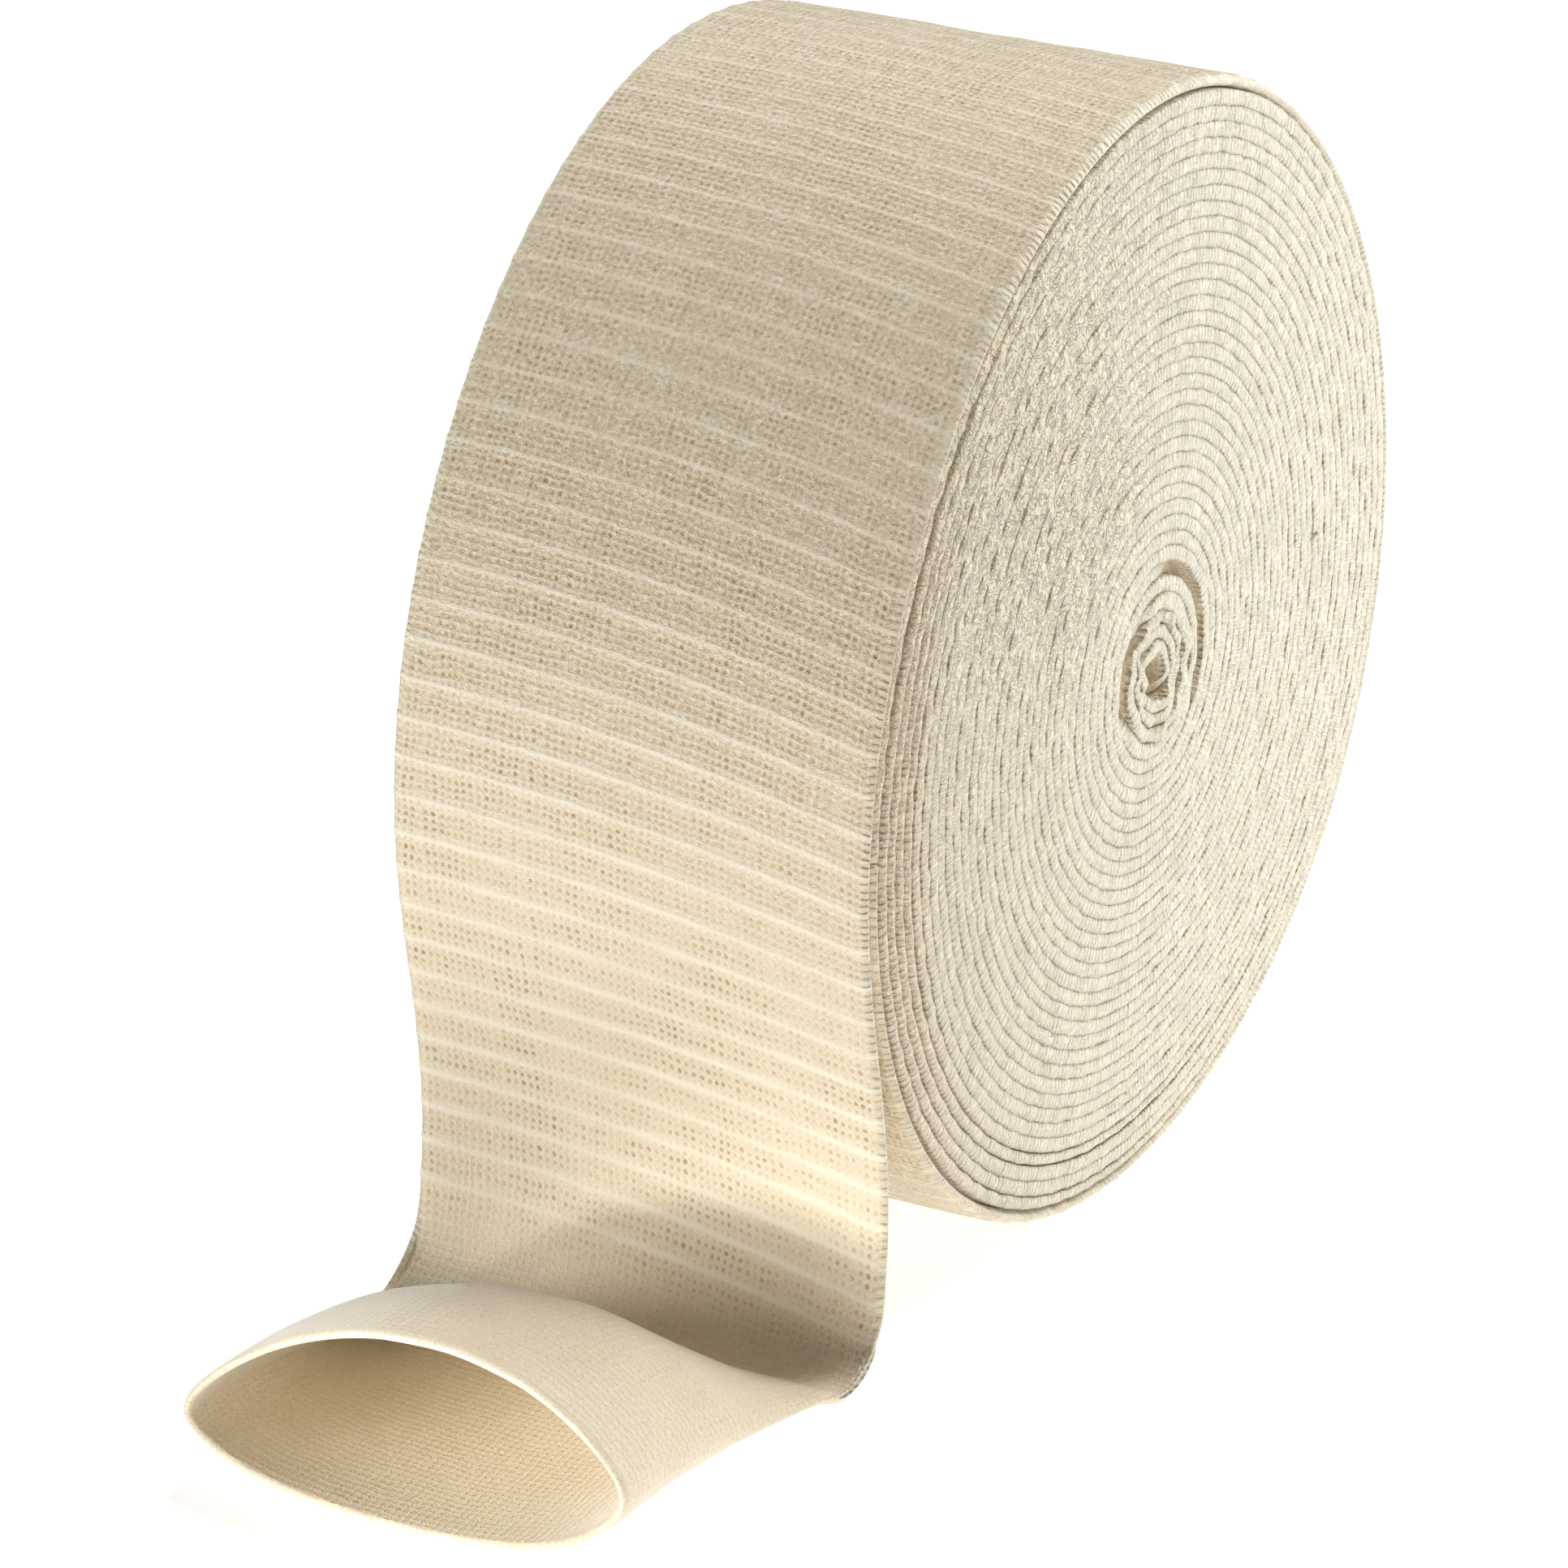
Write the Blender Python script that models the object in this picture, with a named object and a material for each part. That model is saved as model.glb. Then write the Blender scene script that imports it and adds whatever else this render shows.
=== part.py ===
"""Tubular compression bandage: one long knitted tube, pressed flat and wound into a roll.

The roll stands on its curved side. Its free end leaves the front of the roll, hangs down, bends
forward on the surface and opens into the mouth of the tube.

Metres, +Z up, +X along the roll's axis, -Y forward, towards the mouth. The origin is on the surface,
under the middle of the bandage.
"""

import math

import bmesh
import bpy
import numpy as np

# The tube
TUBE_WIDTH = 0.075
WALL = 0.001
FOLD_ROUND = 0.0013
SLIT = 0.0003

# The roll
ROLL_RADIUS = 0.085
TURN_GAP = 0.0002
EYE_RADIUS = 0.0008
FOOT_PRESS = 0.0006
JOINT_GAP = 0.0003

# How the soft roll settles, as shares of the radius of its last turn
SAG_WIDE = 0.018
SAG_LEAN = 0.013
SAG_FLAT = -0.014

# How far the eye has slipped from the middle of the last turn
EYE_BACK = 0.0055
EYE_DROP = 0.0045

# The cross ribs of the knit
RIB_PITCH = 0.0056
RIB_HEIGHT = 0.00025
RIB_SKEW = 0.12
RIB_RAMP = 0.018

# The loose end
LEAVE_ANGLE = 12.0
LEAVE_STEPS = 3
HANG_LEAN = 0.006
LYING_REACH = 0.065
MOUTH_WIDTH = 0.0705
MOUTH_HEIGHT = 0.0303
CORNER_HEIGHT = 0.0118
APEX_SHIFT = 0.004
CORNER_TILT = 0.0016
POCKET_START = 0.004
FLOOR_SHARE = 0.5

# How finely the cloth is drawn
SPOKES_OUTER = 20
SPOKES_INNER = 10
INNER_TURNS_RADIUS = 0.025
ARCH_STEPS = 12
LYING_STEP = 0.0062
BEND_STEP = 0.0022
SLIT_STEP = 0.011

KNIT_COLOUR = (0.76, 0.64, 0.45, 1.0)
KNIT_ROUGHNESS = 0.92

PITCH = 2 * WALL + TURN_GAP
HALF_WIDTH = TUBE_WIDTH / 2
FIRST_ANGLE = math.pi
COVERED = ROLL_RADIUS * math.radians(LEAVE_ANGLE)

# The hanging length, below where it leaves the roll. The height is a share of the roll centre's height.
# The lean is how far the cloth falls back under the roll, as a share of HANG_LEAN.
HANGING = (
    dict(height=0.680, lean=0.32),
    dict(height=0.475, lean=0.83),
    dict(height=0.350, lean=1.00),
    dict(height=0.215, lean=0.93),
)

# The bend and the lying length, from the hanging length to the mouth. The edge, top and under columns are
# how far the fold edges, the top and the underside lie in front of the roll, as shares of LYING_REACH.
# The up of the fold edges and the lift of the underside are shares of CORNER_HEIGHT, and the up of the
# top a share of MOUTH_HEIGHT. The width goes from 0 at the flat tube's to 1 at the mouth's, and round is
# how far the section has left the flat tube's for the open one's.
LYING = (
    dict(edge=-0.060, edge_up=0.80, top=-0.048, top_up=0.300, under=-0.082, lift=0.68, width=0.00, round=0.0),
    dict(edge=0.003, edge_up=0.48, top=-0.012, top_up=0.160, under=-0.040, lift=0.22, width=0.05, round=0.1),
    dict(edge=0.090, edge_up=0.30, top=0.080, top_up=0.100, under=0.055, lift=0.01, width=0.12, round=0.3),
    dict(edge=0.170, edge_up=0.29, top=0.160, top_up=0.215, under=0.145, lift=0.00, width=0.25, round=0.8),
    dict(edge=0.325, edge_up=0.40, top=0.310, top_up=0.480, under=0.315, lift=0.00, width=0.50, round=1.0),
    dict(edge=0.530, edge_up=0.64, top=0.520, top_up=0.780, under=0.530, lift=0.00, width=0.75, round=1.0),
    dict(edge=0.765, edge_up=0.88, top=0.760, top_up=0.945, under=0.765, lift=0.00, width=0.90, round=1.0),
    dict(edge=1.000, edge_up=1.00, top=1.000, top_up=1.000, under=1.000, lift=0.00, width=1.00, round=1.0),
)


def ramp(distance, length):
    """0 at a distance of 0, 1 from length on, and smooth between."""
    share = min(max(distance / length, 0.0), 1.0)
    return share * share * (3 - 2 * share)


def sag(radius, angle):
    """A point of the ideal round roll, moved to where it lies once the roll has settled."""
    share = radius / ROLL_RADIUS
    wave = SAG_WIDE * math.cos(2 * angle) + SAG_LEAN * math.sin(2 * angle) + SAG_FLAT * math.sin(3 * angle)
    settled = radius * (1 + share * wave)
    y = settled * math.cos(angle) + EYE_BACK * (1 - share)
    z = settled * math.sin(angle) - EYE_DROP * (1 - share)
    return y, z


def turn_radius(angle):
    """The radius of the middle of the wound cloth. The angle falls from FIRST_ANGLE towards the eye."""
    return ROLL_RADIUS - WALL - PITCH * (FIRST_ANGLE - angle) / (2 * math.pi)


LOWEST_RADIUS = turn_radius(-math.pi / 2) + WALL
CENTRE_HEIGHT = -sag(LOWEST_RADIUS, -math.pi / 2)[1] - FOOT_PRESS
ROLL_FRONT = -sag(turn_radius(FIRST_ANGLE), FIRST_ANGLE)[0]


def wound_point(angle, x, offset):
    """A point of the wound cloth, offset outwards from its middle, and flattened where it would sink."""
    y, z = sag(turn_radius(angle) + offset, angle)
    return x, y, max(z + CENTRE_HEIGHT, 0.0)


def wound_rows():
    """(angle, rib height, skew) of each cross row of the wound cloth, from the loose end to the eye."""
    ribs = round(2 * math.pi * ROLL_RADIUS / RIB_PITCH)
    rows = []
    for step in range(2 * ribs + 1):
        turned = math.pi * step / ribs
        to_end = ROLL_RADIUS * (2 * math.pi - turned)
        from_ends = min(ROLL_RADIUS * turned, to_end)
        crest = RIB_HEIGHT * ramp(to_end - COVERED, RIB_RAMP) if step % 2 else 0.0
        rows.append((FIRST_ANGLE - turned, crest, RIB_SKEW * ramp(from_ends, RIB_RAMP)))
    angle = FIRST_ANGLE - 2 * math.pi
    while True:
        spokes = SPOKES_OUTER if turn_radius(angle) > INNER_TURNS_RADIUS else SPOKES_INNER
        angle -= 2 * math.pi / spokes
        if turn_radius(angle) < EYE_RADIUS + WALL:
            return rows
        rows.append((angle, 0.0, 0.0))


def loop_faces(bm, near, far):
    """Joins two rows of points that run round the tube. A row is a dict of column and point, and a
    column that only one of the rows has becomes one more corner of the face beside it."""
    shared = [column for column in near if column in far]
    for start, end in zip(shared, shared[1:] + shared[:1]):
        side = []
        for row in (near, far):
            columns = list(row)
            first = columns.index(start)
            order = columns[first:] + columns[:first]
            side.append([row[column] for column in order[: order.index(end) + 1 if end != start else None]])
        bm.faces.new(side[0] + side[1][::-1])


def finish(bm, name):
    """Turns the mesh into a named object of smooth knitted cloth."""
    bmesh.ops.recalc_face_normals(bm, faces=bm.faces)
    bmesh.ops.triangulate(bm, faces=bm.faces)
    mesh = bpy.data.meshes.new(name)
    bm.to_mesh(mesh)
    bm.free()
    mesh.shade_smooth()
    mesh.set_sharp_from_angle(angle=math.radians(50))
    mesh.materials.append(knit_material(name + "_knit"))
    piece = bpy.data.objects.new(name, mesh)
    bpy.context.scene.collection.objects.link(piece)
    return piece


def knit_material(name):
    material = bpy.data.materials.new(name)
    material.use_nodes = True
    shader = material.node_tree.nodes["Principled BSDF"]
    shader.inputs["Base Color"].default_value = KNIT_COLOUR
    shader.inputs["Roughness"].default_value = KNIT_ROUGHNESS
    shader.inputs["Metallic"].default_value = 0.0
    material.diffuse_color = KNIT_COLOUR
    return material


def wound_roll():
    """Every turn of the flat tube, from where the loose end leaves it to the eye, as one spiral band."""
    bm = bmesh.new()
    edge = HALF_WIDTH - FOLD_ROUND
    rows = []
    for angle, crest, skew in wound_rows():
        section = (
            (-HALF_WIDTH, 0.0),
            (-edge, WALL + crest),
            (edge, WALL + crest),
            (HALF_WIDTH, 0.0),
            (edge, -WALL),
            (-edge, -WALL),
        )
        row = {}
        for column, (x, offset) in enumerate(section):
            row[column] = bm.verts.new(wound_point(angle + skew * x / ROLL_RADIUS, x, offset))
        rows.append(row)
    bm.faces.new(rows[0].values())
    for near, far in zip(rows, rows[1:]):
        loop_faces(bm, near, far)
    bm.faces.new(rows[-1].values())
    return finish(bm, "wound_roll")


def rails():
    """The fold edges, the top and the underside of the loose end, as rows of (edge forward, edge up,
    top forward, top up, underside forward, underside up, half width, round)."""
    middle = [(ROLL_FRONT, CENTRE_HEIGHT - JOINT_GAP)]
    for step in range(LEAVE_STEPS):
        angle = FIRST_ANGLE + math.radians(LEAVE_ANGLE) * (step + 1) / LEAVE_STEPS
        y, z = sag(turn_radius(angle) + SLIT / 2, angle)
        middle.append((-y, z + CENTRE_HEIGHT))
    middle += [(ROLL_FRONT - HANG_LEAN * row["lean"], CENTRE_HEIGHT * row["height"]) for row in HANGING]
    half = WALL + SLIT / 2
    rows = []
    for index, (forward, up) in enumerate(middle):
        after = middle[min(index + 1, len(middle) - 1)]
        before = middle[max(index - 1, 0)]
        along = np.subtract(after, before)
        across = np.array([-along[1], along[0]]) / np.hypot(*along)
        thick = half if index else WALL
        top = np.array([forward, up]) + across * thick
        under = np.array([forward, up]) - across * thick
        if index == 0:
            top[1] = under[1] = up
        rows.append([forward, up, *top, *under, HALF_WIDTH, 0.0])
    for row in LYING:
        rows.append(
            [
                ROLL_FRONT + LYING_REACH * row["edge"],
                CORNER_HEIGHT * row["edge_up"],
                ROLL_FRONT + LYING_REACH * row["top"],
                MOUTH_HEIGHT * row["top_up"],
                ROLL_FRONT + LYING_REACH * row["under"],
                CORNER_HEIGHT * row["lift"],
                HALF_WIDTH + (MOUTH_WIDTH / 2 - HALF_WIDTH) * row["width"],
                row["round"],
            ]
        )
    return np.array(rows)


class Loft:
    """A smooth curve through the rows of rails(), measured along the fold edges."""

    def __init__(self, rows):
        self.rows = rows
        steps = np.linalg.norm(np.diff(rows[:, :2], axis=0), axis=1)
        self.knots = np.concatenate([[0.0], np.cumsum(steps)])
        slopes = np.diff(rows, axis=0) / steps[:, None]
        weighed = slopes[:-1] * steps[1:, None] + slopes[1:] * steps[:-1, None]
        inner = weighed / (steps[:-1] + steps[1:])[:, None]
        self.tangents = np.vstack([slopes[:1], inner, slopes[-1:]])

    def at(self, place):
        place = min(max(place, 0.0), self.knots[-1])
        i = min(int(np.searchsorted(self.knots, place, side="right")) - 1, len(self.knots) - 2)
        step = self.knots[i + 1] - self.knots[i]
        t = (place - self.knots[i]) / step
        start, end = self.rows[i], self.rows[i + 1]
        lead, trail = self.tangents[i] * step, self.tangents[i + 1] * step
        return (
            (2 * t**3 - 3 * t**2 + 1) * start
            + (t**3 - 2 * t**2 + t) * lead
            + (3 * t**2 - 2 * t**3) * end
            + (t**3 - t**2) * trail
        )


def arch_share(across, roundness, rise, half_width):
    """How much of the top's rise a point has: all of it across the flat tube up to its fold, and an arc
    of a circle over the open one. across is -1 and 1 at the fold edges."""
    flat = min((1 - abs(across)) * half_width / FOLD_ROUND, 1.0)
    rise = max(abs(rise), WALL)
    radius = (half_width**2 + rise**2) / (2 * rise)
    arc = (math.sqrt(radius**2 - (across * half_width) ** 2) - (radius - rise)) / rise
    return flat + (arc - flat) * roundness


def floor_share(across, roundness, half_width):
    """How much of the underside's drop a point has: the open tube lies flat over FLOOR_SHARE of its width."""
    flat = min((1 - abs(across)) * half_width / FOLD_ROUND, 1.0)
    beyond = max(abs(across) - FLOOR_SHARE, 0.0) / (1 - FLOOR_SHARE)
    return flat + (1 - beyond**2 - flat) * roundness


def loose_point(loft, place, across, side, inside, rib=0.0):
    """A point of the loose end. side is 1 on the top, -1 on the underside and 0 on a fold edge. The ribs
    lie flat on the underside where it touches the roll."""
    edge_y, edge_z, top_y, top_z, under_y, under_z, half_width, roundness = loft.at(place)
    edge = np.array([edge_y, edge_z + CORNER_TILT * across * roundness])
    top, under = np.array([top_y, top_z]), np.array([under_y, under_z])
    outwards = (top - under) / np.hypot(*(top - under))
    if side < 0:
        rib *= ramp(place - COVERED, RIB_RAMP)
    inset = WALL if inside else -rib
    if inside:
        half_width -= FOLD_ROUND
    x = across * half_width
    if side > 0:
        rise = top - outwards * inset - edge
        point = edge + rise * arch_share(across, roundness, np.hypot(*rise), half_width)
        x += APEX_SHIFT * roundness * (1 - across**2)
    elif side < 0:
        drop = under + outwards * inset - edge
        point = edge + drop * floor_share(across, roundness, half_width)
    else:
        point = edge
    return x, -point[0], max(point[1], 0.0)


def columns():
    """Where the points lie across the tube, from -1 to 1: close together beside the fold edges."""
    places = [-math.cos(math.pi * step / ARCH_STEPS) for step in range(ARCH_STEPS + 1)]
    places[1] = -1 + FOLD_ROUND / HALF_WIDTH
    places[-2] = 1 - FOLD_ROUND / HALF_WIDTH
    return places


FEW_COLUMNS = {0, 1, ARCH_STEPS // 3, ARCH_STEPS - ARCH_STEPS // 3, ARCH_STEPS - 1, ARCH_STEPS}


def loose_row(bm, loft, place, few, inside=False, rib=0.0, skew=0.0):
    """One row of points round the tube: over the top from one fold edge to the other, and back below."""
    places = columns()
    row = {}
    over = [(step, 1) for step in range(1, ARCH_STEPS)]
    back = [(step, -1) for step in range(ARCH_STEPS - 1, 0, -1)]
    for step, side in [(0, 0), *over, (ARCH_STEPS, 0), *back]:
        if few and step not in FEW_COLUMNS:
            continue
        across = places[step]
        shifted = place + skew * across * HALF_WIDTH
        row[step, side] = bm.verts.new(loose_point(loft, shifted, across, side, inside, rib))
    return row


def steps_between(start, end, step):
    """Even places from start to end, both included, about one step apart."""
    count = max(round((end - start) / step), 1)
    return [start + (end - start) * i / count for i in range(count + 1)]


def loose_end():
    """The tube from the roll down to the surface, along it and open at its mouth, hollow all the way."""
    bm = bmesh.new()
    loft = Loft(rails())
    above_bend = LEAVE_STEPS + len(HANGING) + 1
    bend_start = loft.knots[above_bend]
    bend_end = loft.knots[above_bend + 3]
    mouth = loft.knots[-1]
    ribs = round(bend_start / RIB_PITCH)

    outer = []
    for step in range(2 * ribs):
        place = bend_start * step / (2 * ribs)
        skew = RIB_SKEW * ramp(min(place, bend_start - place), RIB_RAMP)
        rib = RIB_HEIGHT if step % 2 else 0.0
        outer.append(loose_row(bm, loft, place, few=True, rib=rib, skew=skew))
    lying = steps_between(bend_start, bend_end, BEND_STEP)
    lying += steps_between(bend_end, mouth, LYING_STEP)[1:]
    outer += [loose_row(bm, loft, place, few=False) for place in lying]

    slit = steps_between(POCKET_START, bend_start, SLIT_STEP)[:-1]
    inner = [loose_row(bm, loft, place, few=True, inside=True) for place in slit]
    inner += [loose_row(bm, loft, place, few=False, inside=True) for place in lying]

    bm.faces.new(outer[0].values())
    bm.faces.new(inner[0].values())
    for rows in (outer, inner):
        for near, far in zip(rows, rows[1:]):
            loop_faces(bm, near, far)
    loop_faces(bm, outer[-1], inner[-1])
    return finish(bm, "loose_end")


def centre(pieces):
    """Moves the pieces along Y so that the origin lies under the middle of the bandage."""
    forward = [vertex.co.y for piece in pieces for vertex in piece.data.vertices]
    middle = (min(forward) + max(forward)) / 2
    for piece in pieces:
        for vertex in piece.data.vertices:
            vertex.co.y -= middle
    return middle


def wound_length():
    """The length of flat tube in the roll, along the middle of the cloth."""
    last = EYE_RADIUS + WALL
    return math.pi * (turn_radius(FIRST_ANGLE) ** 2 - last**2) / PITCH


def main():
    for old in list(bpy.data.objects):
        bpy.data.objects.remove(old, do_unlink=True)
    pieces = [wound_roll(), loose_end()]
    middle = centre(pieces)
    turns = (turn_radius(FIRST_ANGLE) - EYE_RADIUS - WALL) / PITCH
    print(f"{turns:.1f} turns, {wound_length():.2f} m of tube")
    print(f"roll centre at y {-middle:.4f}, z {CENTRE_HEIGHT:.4f}")
    for piece in pieces:
        print(piece.name, len(piece.data.polygons), "triangles")


main()
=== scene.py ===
# %% [markdown]
# # A roll of tubular compression bandage
# The bandage is one long tube of elastic cotton knit, pressed flat and wound up. It stands on its
# curved side. Its free end comes down the front of the roll, bends forward on the table and opens
# into the mouth, where a leg or an arm goes in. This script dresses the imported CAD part, which is
# loaded first and stays as it is. Metres, Z up, X along the roll's axis and -Y towards the mouth.

import math

import bpy
import numpy as np
from mathutils import Matrix, Vector


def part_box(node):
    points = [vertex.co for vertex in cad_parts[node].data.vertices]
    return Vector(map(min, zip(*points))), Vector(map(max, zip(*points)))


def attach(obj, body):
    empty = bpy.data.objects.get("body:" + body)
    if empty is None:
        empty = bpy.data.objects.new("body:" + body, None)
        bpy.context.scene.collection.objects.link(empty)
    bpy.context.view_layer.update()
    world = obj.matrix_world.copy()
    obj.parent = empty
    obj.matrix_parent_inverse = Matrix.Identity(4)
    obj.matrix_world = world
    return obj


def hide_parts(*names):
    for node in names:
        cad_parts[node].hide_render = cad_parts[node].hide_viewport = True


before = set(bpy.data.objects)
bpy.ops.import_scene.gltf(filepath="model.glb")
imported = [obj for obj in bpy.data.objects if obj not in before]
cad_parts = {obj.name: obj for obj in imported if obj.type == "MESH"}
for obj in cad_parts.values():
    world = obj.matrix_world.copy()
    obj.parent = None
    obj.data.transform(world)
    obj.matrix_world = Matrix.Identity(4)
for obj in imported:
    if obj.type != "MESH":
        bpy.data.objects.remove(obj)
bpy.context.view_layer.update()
bpy.ops.object.select_all(action="DESELECT")
print("CAD nodes:", sorted(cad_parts))

# %% [markdown]
# The sizes are the CAD part's own, so that the dressed cloth lies where its solids lie. Sizes are in
# metres. The stitch and rib sizes are the knit's: a stitch is about 1.2 mm, and a thicker row of
# elastic yarn makes a rib every 5 to 6 mm.

# %% Sizes of the tube, the roll and the knit
TUBE_WIDTH = 0.075  # pressed flat
WALL = 0.001
FOLD_ROUND = 0.0013
SLIT = 0.0003  # between the two layers of the hanging cloth
ROLL_RADIUS = 0.085
TURN_GAP = 0.0002
EYE_RADIUS = 0.0008
FOOT_PRESS = 0.0006  # how far the soft roll is pressed flat where it stands
HANG_LEAN = 0.006
LYING_REACH = 0.065  # from the front of the roll to the mouth
MOUTH_WIDTH = 0.0705
MOUTH_HEIGHT = 0.0303
CORNER_HEIGHT = 0.0118
APEX_SHIFT = 0.004
CORNER_TILT = 0.0016
WALE = 0.00115  # one column of stitches
RIB_PITCH = 0.0056
RIB_HEIGHT = 0.00014
RIB_SKEW = 0.125
RIB_BOW = 1.3

PITCH = 2 * WALL + TURN_GAP  # one wound turn
HALF_WIDTH = TUBE_WIDTH / 2
LEFT_ANGLE = math.radians(192)  # the angle where the hanging cloth has left the roll

# %% [markdown]
# A wound bandage isn't a perfect spiral. The soft roll sinks and leans under its own weight, and its
# eye slips down and back. One function moves every point of the ideal spiral to where it really lies,
# so that all the turns keep their spacing. Near the eye the first turns were folded over instead of
# rolled, which squeezes them and leaves two open gaps round them.


# %% How the soft roll settles
def ease(value, start, end):
    """0 before start, 1 after end, and smooth between."""
    share = np.clip((value - start) / (end - start), 0.0, 1.0)
    return share * share * (3 - 2 * share)


def settle(radius, angle):
    """(y, z) from the roll's centre of a point of the ideal spiral, once the roll has settled."""
    share = radius / ROLL_RADIUS
    wave = 0.018 * np.cos(2 * angle) + 0.013 * np.sin(2 * angle) - 0.014 * np.sin(3 * angle)
    squeeze = 0.12 * (1 - ease(radius, 0.0095, 0.0115)) * ease(radius, 0.0, 0.004)
    settled = radius * (1 + share * wave - squeeze * np.cos(angle - 0.35) ** 2)
    y = settled * np.cos(angle) + 0.0055 * (1 - share)
    z = settled * np.sin(angle) - 0.0045 * (1 - share)
    return y, z


def turn_radius(angle):
    """The radius of the middle of the wound cloth. The angle falls from half a turn towards the eye."""
    return ROLL_RADIUS - WALL - PITCH * (math.pi - angle) / (2 * math.pi)


lowest = turn_radius(-math.pi / 2) + WALL
CENTRE_HEIGHT = float(-settle(lowest, -math.pi / 2)[1]) - FOOT_PRESS
ROLL_FRONT = float(-settle(turn_radius(math.pi), math.pi)[0])
print(f"roll centre {CENTRE_HEIGHT:.4f} m up, front {ROLL_FRONT:.4f} m before it")

# %% [markdown]
# The outermost turn and the loose end are one stretch of cloth, so they are drawn as one piece. Its
# middle line starts under the tail, goes once round the roll, follows the roll a little way down the
# front, hangs, and bends forward along the table. Each row below holds where the fold edges, the top
# and the underside of the tube are. A smooth curve through the rows gives every place between them.


# %% The middle line and the rails of the outer cloth
HANGING = [(0.680, 0.32), (0.475, 0.83), (0.350, 1.00), (0.215, 0.93)]  # height, lean
LYING = [  # edge, edge height, top, top height, underside, its lift, width, round
    (-0.060, 0.800, -0.048, 0.300, -0.082, 0.680, 0.00, 0.0),
    (0.003, 0.480, -0.012, 0.160, -0.040, 0.220, 0.05, 0.1),
    (0.090, 0.300, 0.080, 0.100, 0.055, 0.010, 0.12, 0.3),
    (0.170, 0.290, 0.160, 0.215, 0.145, 0.000, 0.25, 0.8),
    (0.325, 0.400, 0.310, 0.480, 0.315, 0.000, 0.50, 1.0),
    (0.530, 0.640, 0.520, 0.780, 0.530, 0.000, 0.75, 1.0),
    (0.765, 0.880, 0.760, 0.945, 0.765, 0.000, 0.90, 1.0),
    (1.000, 1.000, 1.000, 1.000, 1.000, 0.000, 1.00, 1.0),
]


def rails():
    """Rows of (forward, up) of the fold edge, the top and the underside, half width and round."""
    steps = np.array([-179.7, *range(-174, 181, 6), 184, 188, 192])
    angles = np.radians(steps)
    y, z = settle(turn_radius(angles) + SLIT / 2 * ease(angles, math.pi, LEFT_ANGLE), angles)
    middle = list(zip(-y, z + CENTRE_HEIGHT))
    leave = len(middle) - 4
    middle += [(ROLL_FRONT - HANG_LEAN * lean, CENTRE_HEIGHT * height) for height, lean in HANGING]
    middle = np.array(middle)
    along = np.gradient(middle, axis=0)
    across = np.stack([-along[:, 1], along[:, 0]], axis=1) / np.linalg.norm(along, axis=1)[:, None]
    opened = np.clip((np.arange(len(middle)) - leave) / 3, 0, 1)[:, None]
    half = WALL + SLIT / 2 * opened
    width = np.full((len(middle), 1), HALF_WIDTH)
    rows = np.hstack([middle, middle + across * half, middle - across * half, width, 0 * width])
    lying = [
        [
            ROLL_FRONT + LYING_REACH * edge, CORNER_HEIGHT * edge_up,
            ROLL_FRONT + LYING_REACH * top, MOUTH_HEIGHT * top_up,
            ROLL_FRONT + LYING_REACH * under, CORNER_HEIGHT * lift,
            HALF_WIDTH + (MOUTH_WIDTH / 2 - HALF_WIDTH) * wide, rounded,
        ]
        for edge, edge_up, top, top_up, under, lift, wide, rounded in LYING
    ]  # fmt: skip
    return np.vstack([rows, lying]), leave


ROWS, LEAVE_ROW = rails()
STEPS = np.linalg.norm(np.diff(ROWS[:, :2], axis=0), axis=1)
KNOTS = np.concatenate([[0.0], np.cumsum(STEPS)])
KNOTS -= KNOTS[LEAVE_ROW]
SLOPES = np.diff(ROWS, axis=0) / STEPS[:, None]
TANGENTS = np.vstack([
    SLOPES[:1],
    (SLOPES[:-1] * STEPS[1:, None] + SLOPES[1:] * STEPS[:-1, None]) / (STEPS[:-1] + STEPS[1:])[:, None],
    SLOPES[-1:],
])  # fmt: skip


def rail(place):
    """The rails at any places along the cloth, which are 0 where it leaves the roll."""
    place = np.clip(place, KNOTS[0], KNOTS[-1])
    i = np.clip(np.searchsorted(KNOTS, place, side="right") - 1, 0, len(STEPS) - 1)
    step = STEPS[i][..., None]
    t = (place - KNOTS[i])[..., None] / step
    return (
        (2 * t**3 - 3 * t**2 + 1) * ROWS[i]
        + (t**3 - 2 * t**2 + t) * TANGENTS[i] * step
        + (3 * t**2 - 2 * t**3) * ROWS[i + 1]
        + (t**3 - t**2) * TANGENTS[i + 1] * step
    )


MOUTH = KNOTS[-1] - 0.0006
BEND = KNOTS[-len(LYING)]
CENTRE_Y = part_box("loose_end")[0].y + ROLL_FRONT + LYING_REACH
print(f"outer cloth {KNOTS[-1] - KNOTS[0]:.3f} m long, bend at {BEND:.3f} m")
print(f"roll centre at y {CENTRE_Y:.4f}")

# %% [markdown]
# Ribs run across the cloth at even steps. Each one leans and bows a little, because a tube that is
# knitted round and round comes out with its rows slightly slanted. The rows of points lie along the
# ribs, with three of them close together on each rib, so that the ribs can stand up from the cloth.

# %% Rows of points along the ribs
RIB_PHASES = (0.0, 0.12, 0.31, 0.5, 0.69, 0.88)
rib_total = (MOUTH - KNOTS[0]) / RIB_PITCH
row_ribs = np.array([rib + phase for rib in range(int(rib_total) + 1) for phase in RIB_PHASES])
row_ribs = np.append(row_ribs[row_ribs < rib_total - 0.1], rib_total)
row_places = KNOTS[0] + row_ribs * RIB_PITCH
print(f"{len(row_places)} rows of points, {rib_total:.0f} ribs")


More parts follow.
